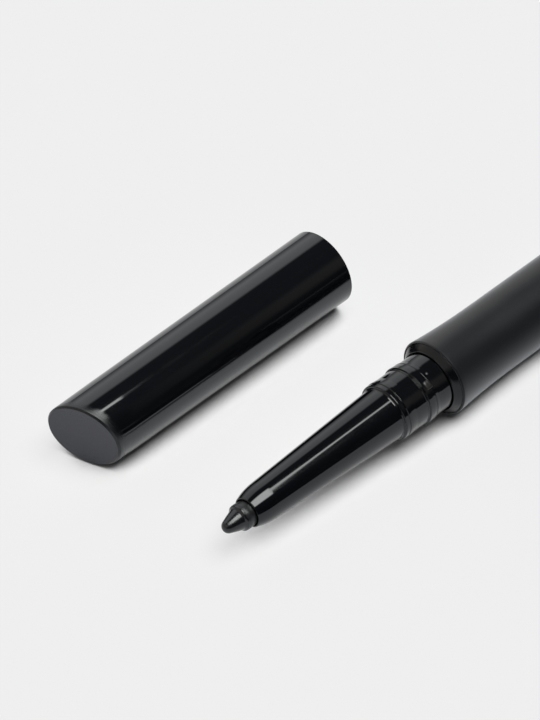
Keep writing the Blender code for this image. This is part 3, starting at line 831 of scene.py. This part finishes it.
def nozzle_beads():
    """Profile from the cone's base over the bead, the ridge and the snap bead to the neck."""
    base = CONE_BASE_STATION
    edge = cone_radius(base - 0.22)
    ridge = RIDGE_STATION
    front = SNAP_BEAD_FRONT
    rear = SNAP_BEAD_REAR
    crest = SNAP_BEAD_RADIUS
    return [
        (base - 0.22, edge, 0.04),
        (base - 0.12, edge + 0.03, 0.03),
        (base - 0.02, CONE_BASE_RADIUS + 0.12, 0.03),
        (base + 0.05, BEAD_RADIUS, 0.13),
        (ridge - 0.16, BEAD_RADIUS + 0.01, 0.04),
        (ridge - 0.09, BEAD_RADIUS - 0.04, 0.02),
        (ridge - 0.02, RIDGE_RADIUS, 0.04),
        (ridge + 0.35, RIDGE_RADIUS - 0.01, 0.50),
        (ridge + 1.15, NECK_RADIUS, 1.50),
        (front - 0.34, NECK_RADIUS, 0.02),
        (front - 0.30, NECK_RADIUS + 0.065, 0.02),
        (front - 0.09, NECK_RADIUS + 0.055, 0.02),
        (front - 0.03, crest, 0.04),
        (front + 0.55, crest - 0.02, 0.80),
        (rear, crest - 0.06, 0.03),
        (rear + 0.05, crest - 0.08, 0.02),
        (rear + 0.10, crest - 0.045, 0.05),
        (rear + 0.55, REAR_NECK_RADIUS + 0.02, 0.60),
        (rear + 1.00, REAR_NECK_RADIUS, 0.50),
        (REAR_NECK_END, REAR_NECK_RADIUS, SHARP),
    ]


def nozzle_inside():
    """Profile of the shank with its two ring grooves, and of the bore back to the mouth."""
    return [
        (SHANK_FRONT, NECK_RADIUS, SHARP),
        (CLIP_GROOVE_FRONT, NECK_RADIUS, SHARP),
        (CLIP_GROOVE_FRONT, CLIP_GROOVE_RADIUS, SHARP),
        (CLIP_GROOVE_REAR, CLIP_GROOVE_RADIUS, SHARP),
        (CLIP_GROOVE_REAR, NECK_RADIUS, SHARP),
        (SOFT_RING_GROOVE_FRONT, NECK_RADIUS, SHARP),
        (SOFT_RING_GROOVE_FRONT, SOFT_RING_GROOVE_RADIUS, SHARP),
        (SOFT_RING_GROOVE_REAR, SOFT_RING_GROOVE_RADIUS, SHARP),
        (SOFT_RING_GROOVE_REAR, NECK_RADIUS, SHARP),
        (SHANK_REAR, NECK_RADIUS, SHARP),
        (SHANK_REAR, GUIDE_SEAT_RADIUS, SHARP),
        (GUIDE_SEAT_FRONT, GUIDE_SEAT_RADIUS, SHARP),
        (GUIDE_SEAT_FRONT, LEAD_WAY_RADIUS, SHARP),
        (LEAD_WAY_FRONT, LEAD_WAY_RADIUS, SMOOTH),
        (MOUTH_BORE_REAR, MOUTH_BORE_RADIUS, SMOOTH),
    ]


def nozzle_skin():
    """The glossy cone, its beads and its neck."""
    corners = nozzle_nose() + nozzle_beads() + nozzle_inside()
    piece = turned("nozzle_skin", corners, shift=ORIGIN_STATION, sides=256)
    return finish_piece(piece, "nozzle", NOZZLE_GLOSS, ["nozzle"])


def nozzle_key():
    """The small rounded key on the snap bead."""
    count = 20
    seat = 0.03
    sink = 0.15
    outline_power = 5
    dome_power = 0.4
    base = SNAP_BEAD_RADIUS - seat
    shrink = (base - sink) / base
    bm = bmesh.new()
    rows = []
    for line in range(count + 1):
        row = []
        along = -1 + 2 * line / count
        station = KEY_STATION + along * KEY_LENGTH / 2 - ORIGIN_STATION
        for place in range(count + 1):
            around = -1 + 2 * place / count
            edge = abs(along) ** outline_power + abs(around) ** outline_power
            radius = base + (KEY_HEIGHT + seat) * max(0.0, 1 - edge) ** dome_power
            turn = math.radians(KEY_ANGLE) + around * KEY_WIDTH / 2 / SNAP_BEAD_RADIUS
            across = radius * math.cos(turn)
            up = radius * math.sin(turn)
            row.append(bm.verts.new((station * MM, across * MM, up * MM)))
        rows.append(row)
    for row, following in zip(rows, rows[1:]):
        for place in range(count):
            bm.faces.new((row[place], row[place + 1], following[place + 1], following[place]))
    right = [row[-1] for row in rows[1:-1]]
    left = [row[0] for row in rows[1:-1]]
    border = rows[0] + right + rows[-1][::-1] + left[::-1]
    skirt = []
    for vertex in border:
        x, y, z = vertex.co
        skirt.append(bm.verts.new((x, y * shrink, z * shrink)))
    for index, vertex in enumerate(border):
        bm.faces.new((border[index - 1], vertex, skirt[index], skirt[index - 1]))
    bm.faces.new(skirt)
    piece = closed_piece("nozzle_key", bm)
    return finish_piece(piece, "nozzle", KEY_SATIN)


def nozzle_pip():
    """The little moulding mark behind the snap bead."""
    rings = 8
    sides = 24
    sink = 0.02
    turn = math.radians(PIP_ANGLE)
    up = Vector((0.0, math.cos(turn), math.sin(turn)))
    along = Vector((1.0, 0.0, 0.0))
    across = up.cross(along)
    centre = along * (PIP_STATION - ORIGIN_STATION) + up * REAR_NECK_RADIUS
    bm = bmesh.new()
    top = bm.verts.new((centre + up * PIP_HEIGHT) * MM)
    rows = []
    for ring in range(1, rings + 1):
        share = ring / rings
        lift = PIP_HEIGHT * math.cos(share * math.pi / 2) - sink * share ** 4
        row = []
        for index in range(sides):
            angle = math.tau * index / sides
            flat = along * math.cos(angle) + across * math.sin(angle)
            row.append(bm.verts.new((centre + flat * PIP_WIDTH / 2 * share + up * lift) * MM))
        rows.append(row)
    for index in range(sides):
        other = (index + 1) % sides
        bm.faces.new((top, rows[0][index], rows[0][other]))
        for inner, outer in zip(rows, rows[1:]):
            bm.faces.new((inner[index], outer[index], outer[other], inner[other]))
    bm.faces.new(rows[-1])
    piece = closed_piece("nozzle_pip", bm)
    return finish_piece(piece, "nozzle", KEY_SATIN)


def lead_tip():
    """Profile of the lead's round tip."""
    centre = LEAD_TIP_STATION + LEAD_TIP_RADIUS
    count = 12
    corners = []
    for step in range(count + 1):
        turn = math.radians(LEAD_TIP_TURN) * step / count
        station = centre - LEAD_TIP_RADIUS * math.cos(turn)
        radius = LEAD_TIP_RADIUS * math.sin(turn)
        corners.append((station, radius, SMOOTH if step else SHARP))
    return corners


def lead_cone(station):
    """Radius of the lead's cone."""
    return LEAD_CONE_RADIUS + LEAD_CONE_SLOPE * (station - LEAD_CONE_FRONT)


def lead_step(station):
    """Radius of the rounded step behind the lead's cone."""
    share = (station - LEAD_STEP_FRONT) / LEAD_STEP_LENGTH
    return LEAD_STEP_RADIUS + LEAD_STEP_RISE * math.sin(share * math.pi / 2)


def lead_band(station):
    """Radius of the faint swelling behind the step."""
    return LEAD_BAND_RADIUS - LEAD_BAND_FALL * ((station - LEAD_BAND_CREST) / LEAD_BAND_HALF) ** 2


def uneven_lead(point, normal):
    """Push the lead's surface in and out where it is worn, by its shoulder."""
    x, y, z = point
    station = x / MM + ORIGIN_STATION
    near = max(0.0, 1 - abs(station - LEAD_WORN_STATION) / LEAD_WORN_REACH)
    lumps = noise.noise(Vector((x, y, z)) / (LEAD_LUMP_SIZE * MM))
    across = (y / LEAD_RING_WIDTH, z / LEAD_RING_WIDTH)
    lathe_rings = noise.noise(Vector((x / LEAD_RING_LENGTH, *across)) / MM)
    factor = 1 + near * (LEAD_LUMP_SHARE * lumps + LEAD_RING_SHARE * lathe_rings)
    return (x, y * factor, z * factor), normal


def lead_skin():
    """The lead: a rod, a soft shoulder and a cone with a round tip."""
    corners = lead_tip()
    corners += curve(lead_cone, LEAD_CONE_FRONT, LEAD_CONE_REAR, 14)
    corners += curve(lead_step, LEAD_STEP_FRONT + 0.01, LEAD_STEP_FRONT + LEAD_STEP_LENGTH, 10)
    corners += curve(lead_band, LEAD_BAND_FRONT, LEAD_BAND_REAR, 12)
    corners += [(station, radius, SMOOTH) for station, radius in LEAD_WAIST]
    corners += [
        (LEAD_ROD_FRONT, LEAD_RADIUS, SMOOTH),
        (LEAD_REAR - 0.08, LEAD_RADIUS, SMOOTH),
        (LEAD_REAR, LEAD_RADIUS - 0.04, SMOOTH),
        (LEAD_REAR, 0.0, SHARP),
    ]
    piece = turned(
        "lead_skin",
        corners,
        closed=False,
        sides=160,
        shift=ORIGIN_STATION,
        reshape=uneven_lead,
        exact=False,
    )
    return finish_piece(piece, "carrier", LEAD_WAX, ["lead"])


# Pieces of the cap


def cap_matrix():
    """Place of the cap: its mouth's centre, and X along its axis."""
    pitch = math.atan2(CAP_MOUTH_RADIUS - CAP_END_RADIUS, CAP_LENGTH)
    turn = Matrix.Rotation(math.radians(CAP_YAW), 4, "Z") @ Matrix.Rotation(-pitch, 4, "Y")
    place = Vector(
        (
            (CAP_MOUTH_STATION - ORIGIN_STATION) * MM,
            CAP_ASIDE * MM,
            (CAP_MOUTH_RADIUS - RIM_RADIUS) * MM,
        )
    )
    return Matrix.Translation(place) @ turn


def slanted(point, normal):
    """Shear the cap's closed end to its slanted cut."""
    x, y, z = point
    share = (-CAP_LENGTH + CAP_SHEAR_START - x / MM) / (CAP_SHEAR_START - CAP_END_CURVE)
    share = min(max(share, 0.0), 1.0)
    along_y, along_z = (share * slope for slope in cut_slopes())
    moved = (x - along_y * y - along_z * z, y, z)
    bent = (normal[0], normal[1] + along_y * normal[0], normal[2] + along_z * normal[0])
    return moved, bent


def cap_wall(station):
    """Outer radius of the cap, which narrows towards its closed end."""
    ahead = station + CAP_LENGTH
    narrowing = CAP_NARROWING * -station / CAP_LENGTH
    taper = CAP_TAPER * max(0.0, CAP_TAPER_LENGTH - ahead)
    near = max(0.0, 1 - ahead / CAP_END_CURVE)
    return CAP_MOUTH_RADIUS - narrowing - taper - CAP_END_DROP * near ** 2


def cap_skin():
    """The glossy cap with its slanted end."""
    sides = 256
    steps = 8
    end = -CAP_LENGTH
    corners = [
        (end, 0.0, SHARP),
        (end, cap_wall(end) - CAP_END_BEVEL, 0.03),
        (end + CAP_END_BEVEL, cap_wall(end), 0.05),
    ]
    corners += curve(cap_wall, end + CAP_END_BEVEL + 0.1, end + CAP_END_CURVE, 14)
    for ahead in (
        CAP_SHEAR_START,
        CAP_TAPER_LENGTH - 0.4,
        CAP_TAPER_LENGTH,
        CAP_TAPER_LENGTH + 0.6,
    ):
        corners.append((end + ahead, cap_wall(end + ahead), SMOOTH))
    corners += [
        (0.0, CAP_MOUTH_RADIUS, 0.10),
        (0.0, CAP_MOUTH_RADIUS - CAP_MOUTH_LIP, 0.05),
        (-CAP_MOUTH_CHAMFER, CAP_BORE_RADIUS, SHARP),
        (-CAP_BORE_DEPTH, CAP_BORE_RADIUS, SHARP),
        (-CAP_BORE_DEPTH, 0.0, SHARP),
    ]
    piece = turned(
        "cap_skin",
        corners,
        closed=False,
        sides=sides,
        steps=steps,
        reshape=slanted,
        place=cap_matrix(),
    )
    finish_piece(piece, "cap", CAP_GLOSS, ["cap_shell"])
    piece.data.materials.append(END_SATIN)
    piece.data.materials.append(BEVEL_SATIN)
    end_rows = 1
    bevel_rows = 2 * steps + 1
    for face in piece.data.polygons[: (end_rows + bevel_rows) * sides]:
        face.material_index = 1 if face.index < end_rows * sides else 2
    return piece


def liner_skin():
    """The inner cup that snaps over the bead."""
    corners = [
        (LINER_END, 0.0, SHARP),
        (LINER_END, LINER_END_RADIUS, 0.2),
        (LINER_NECK - 0.35, LINER_RADIUS - 0.06, 0.2),
        (LINER_NECK, LINER_RADIUS, 0.2),
        (LINER_FRONT, LINER_RADIUS, 0.05),
        (LINER_FRONT, LINER_GRIP_RADIUS, 0.12),
        (LINER_FRONT - 0.25, LINER_SNAP_RADIUS, SMOOTH),
        (LINER_FRONT - 0.50, LINER_SNAP_RADIUS, SMOOTH),
        (LINER_FRONT - 0.75, LINER_GRIP_RADIUS, SMOOTH),
        (LINER_GRIP_END, LINER_GRIP_RADIUS, 0.2),
        (LINER_NECK, LINER_GRIP_RADIUS - 0.06, 0.2),
        (LINER_FLOOR, LINER_FLOOR_RADIUS, 0.3),
        (LINER_FLOOR, 0.0, SHARP),
    ]
    piece = turned("liner_skin", corners, closed=False, sides=160, steps=4, place=cap_matrix())
    return finish_piece(piece, "cap", GREY_PLASTIC, ["cap_liner"])


def dress_nodes():
    """Give the hidden pieces of the drive their finishes."""
    finishes = {
        "spiral_sleeve": WHITE_PLASTIC,
        "lead_carrier": WHITE_PLASTIC,
        "guide_tube": NATURAL_PLASTIC,
        "guide_end_cap": GREY_PLASTIC,
        "retaining_ring": GREY_PLASTIC,
        "friction_ring": RUBBER,
    }
    for name, material in finishes.items():
        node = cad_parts[name]
        for index in range(len(node.material_slots)):
            node.material_slots[index].material = material


# The studio


def floor_paper():
    """Pale paper with a painted shadow beside what lies on it, added to its real shadow.

    Ambient occlusion paints its colour darker where it is shut in, and it shows at one even level
    where it lies open.
    """
    material, tree, shader, where = new_material("floor_paper", (0.67, 0.67, 0.67), roughness=0.9)
    shader.inputs["Specular IOR Level"].default_value = 0.0
    openness = tree.nodes.new("ShaderNodeAmbientOcclusion")
    openness.samples = 12
    openness.inputs["Distance"].default_value = FLOOR_SHADOW_REACH * MM
    # Painted light: the floor counts as a little more open beside the barrel, so its painted
    # shade is paler there
    beside_barrel = along_direction(tree, where, FLOOR_LIFT_DIRECTION)
    lift_start, lift_end = (place * MM for place in FLOOR_LIFT_SPAN)
    lift = spread(tree, beside_barrel, 0.0, FLOOR_PAINTED_LIFT, lift_start, lift_end)
    openness_and_painted_lift = combine(tree, "ADD", openness.outputs["AO"], lift)
    stops = [
        (position, tuple(tone * share for share in FLOOR_TINT)) for position, tone in FLOOR_PAINTED_SHADE_TONES
    ]
    # Painted shadow: the floor's colour is painted darker where ambient occlusion finds it shut
    # in
    tree.links.new(ramped(tree, openness_and_painted_lift, stops), shader.inputs["Base Color"])
    path = tree.nodes.new("ShaderNodeLightPath")
    seen = combine(tree, "MAXIMUM", path.outputs["Is Camera Ray"], path.outputs["Is Glossy Ray"])
    seen = combine(tree, "MAXIMUM", seen, path.outputs["Is Transmission Ray"])
    open_part = smooth_step(tree, openness_and_painted_lift, *FLOOR_OPEN_SPAN)
    share = product(tree, open_part, seen, FLOOR_WHITE_SHARE)
    white = tree.nodes.new("ShaderNodeEmission")
    white.inputs["Strength"].default_value = FLOOR_WHITE
    mix = tree.nodes.new("ShaderNodeMixShader")
    tree.links.new(share, mix.inputs["Fac"])
    tree.links.new(shader.outputs["BSDF"], mix.inputs[1])
    tree.links.new(white.outputs["Emission"], mix.inputs[2])
    tree.links.new(mix.outputs["Shader"], tree.nodes["Material Output"].inputs["Surface"])
    return material


def table_top():
    """A wide pale floor."""
    half = FLOOR_HALF_SIZE
    low = (TABLE - FLOOR_GAP) * MM
    mesh = bpy.data.meshes.new("studio_floor")
    mesh.from_pydata(
        [(-half, -half, low), (half, -half, low), (half, half, low), (-half, half, low)],
        [],
        [(0, 1, 2, 3)],
    )
    floor = add_object("studio_floor", mesh)
    floor.data.materials.append(floor_paper())


# The world's light. x is a direction's share along the pencil, and degrees is its turn
# about the pencil's axis: 0 towards the cap's side of the table, 90 straight up.

# The soft box in degrees: its two long edges where it is wide and where it is narrow, and
# how soft they are there; then, in x, where it draws in, where it ends and its strength's
# steps of (start, end, change)
BOX_WIDE = (85.5, 122.5)
BOX_NARROW = (94.9, 100.9)
BOX_WIDE_SOFT = 4.0
BOX_NARROW_SOFT = 1.6
BOX_DRAW_IN = (0.402, 0.438)
BOX_LEAN = (0.435, 0.455, 2.0)
BOX_ENDS = (-0.46, 0.459)
BOX_LEVEL = 1.0
BOX_LEVEL_STEPS = ((-0.28, -0.20, 7.2), (0.37, 0.405, -1.7), (0.440, 0.450, -1.8))

# Strength of the other lights
FOOT_LEVEL = 0.22
BACKDROP_LEVEL = 1.05
WALL_LEVEL = 0.18
GLOW_LEVEL = 0.50
ROOM_LEVEL = 0.085
ROOM_FAR_LEVEL = 0.04


def window(tree, value, start, end, soft):
    """Return 1 between start and end and 0 outside, with soft edges."""
    rise = smooth_step(tree, value, start - soft, start + soft)
    fall = smooth_step(tree, value, end - soft, end + soft)
    return combine(tree, "SUBTRACT", rise, fall)


def shining(tree, strength, colour):
    """Return a light of one colour and a strength that changes with direction."""
    background = tree.nodes.new("ShaderNodeBackground")
    background.inputs["Color"].default_value = (*colour, 1.0)
    tree.links.new(strength, background.inputs["Strength"])
    return background.outputs["Background"]


def backdrop_light(tree, x, degrees):
    """A pale backdrop behind the object, dimmer at its foot."""
    rise = smooth_step(tree, degrees, 3.0, 26.0)
    level = product(
        tree,
        window(tree, degrees, start=-1.0, end=58.0, soft=5.0),
        window(tree, x, start=-0.3, end=0.8, soft=0.15),
        spread(tree, rise, FOOT_LEVEL, BACKDROP_LEVEL, start=0.0, end=1.0),
    )
    return shining(tree, level, (1.04, 1.02, 0.99))


def soft_box_level(tree, x):
    """Return the soft box's strength, which changes by steps along the pencil."""
    level = BOX_LEVEL
    for start, end, change in BOX_LEVEL_STEPS:
        level = combine(tree, "ADD", spread(tree, x, 0.0, change, start, end), level)
    return level


def soft_box_light(tree, x, degrees):
    """A soft box overhead, which draws in to a narrow strip towards the tail."""
    width = combine(tree, "POWER", spread(tree, x, 1.0, 0.0, *BOX_DRAW_IN), 3.0)
    soft = spread(tree, width, BOX_NARROW_SOFT, BOX_WIDE_SOFT, start=0.0, end=1.0)
    low = spread(tree, width, BOX_NARROW[0], BOX_WIDE[0], start=0.0, end=1.0)
    high = spread(tree, width, BOX_NARROW[1], BOX_WIDE[1], start=0.0, end=1.0)
    lean_start, lean_end, lean = BOX_LEAN
    high = combine(tree, "ADD", high, spread(tree, x, 0.0, lean, lean_start, lean_end))
    from_low = combine(tree, "DIVIDE", combine(tree, "SUBTRACT", degrees, low), soft)
    from_high = combine(tree, "DIVIDE", combine(tree, "SUBTRACT", high, degrees), soft)
    level = product(
        tree,
        smooth_step(tree, from_low, -1.0, 1.0),
        smooth_step(tree, from_high, -1.0, 1.0),
        window(tree, x, *BOX_ENDS, soft=0.003),
        soft_box_level(tree, x),
    )
    return shining(tree, level, (1.07, 1.04, 0.95))


def side_light(tree, x, degrees):
    """A dim wall beyond the tail and a glow round the tip's end of the room."""
    wall = product(
        tree,
        window(tree, degrees, start=128.0, end=157.0, soft=9.0),
        smooth_step(tree, x, 0.44, 0.54),
        WALL_LEVEL,
    )
    glow = product(
        tree,
        window(tree, degrees, start=20.0, end=128.0, soft=12.0),
        smooth_step(tree, x, -0.50, -0.62),
        GLOW_LEVEL,
    )
    low_glow = product(
        tree,
        window(tree, degrees, start=2.0, end=60.0, soft=6.0),
        smooth_step(tree, x, -0.20, -0.34),
        GLOW_LEVEL,
    )
    level = combine(tree, "ADD", wall, combine(tree, "MAXIMUM", glow, low_glow))
    return shining(tree, level, (1.18, 1.03, 0.88))


def dark_light(tree, degrees):
    """The faint light of the dark room."""
    level = spread(tree, degrees, ROOM_LEVEL, ROOM_FAR_LEVEL, start=125.0, end=150.0)
    return shining(tree, level, (0.92, 1.0, 1.12))


def studio_world():
    """Soft studio light: a backdrop, a soft box overhead, side light and a dark room."""
    world = bpy.data.worlds.new("studio")
    bpy.context.scene.world = world
    world.use_nodes = True
    tree = world.node_tree
    tree.nodes.clear()
    direction = tree.nodes.new("ShaderNodeTexCoord").outputs["Generated"]
    split = tree.nodes.new("ShaderNodeSeparateXYZ")
    tree.links.new(direction, split.inputs["Vector"])
    x, y, z = split.outputs
    degrees = combine(tree, "MULTIPLY", combine(tree, "ARCTAN2", z, y), math.degrees(1.0))
    total = backdrop_light(tree, x, degrees)
    for light in (
        soft_box_light(tree, x, degrees),
        side_light(tree, x, degrees),
        dark_light(tree, degrees),
    ):
        adder = tree.nodes.new("ShaderNodeAddShader")
        tree.links.new(total, adder.inputs[0])
        tree.links.new(light, adder.inputs[1])
        total = adder.outputs["Shader"]
    output = tree.nodes.new("ShaderNodeOutputWorld")
    tree.links.new(total, output.inputs["Surface"])


def camera():
    """The photograph's camera."""
    data = bpy.data.cameras.new("camera")
    data.lens = CAMERA_LENS
    data.clip_start = CAMERA_NEAR
    data.clip_end = CAMERA_FAR
    item = add_object("camera", data)
    azimuth = math.radians(CAMERA_AZIMUTH)
    elevation = math.radians(CAMERA_ELEVATION)
    back = Vector(
        (
            math.sin(azimuth) * math.cos(elevation),
            -math.cos(azimuth) * math.cos(elevation),
            math.sin(elevation),
        )
    )
    target = Vector(CAMERA_TARGET) * MM
    item.location = target + back * CAMERA_DISTANCE * MM
    item.rotation_mode = "QUATERNION"
    item.rotation_quaternion = (-back).to_track_quat("-Z", "Y")
    bpy.context.scene.camera = item


barrel_skin()
collar_skin()
tail_button()
nozzle_skin()
nozzle_key()
nozzle_pip()
lead_skin()
cap_skin()
liner_skin()
dress_nodes()
table_top()
studio_world()
camera()
bpy.context.scene.view_settings.view_transform = "Standard"
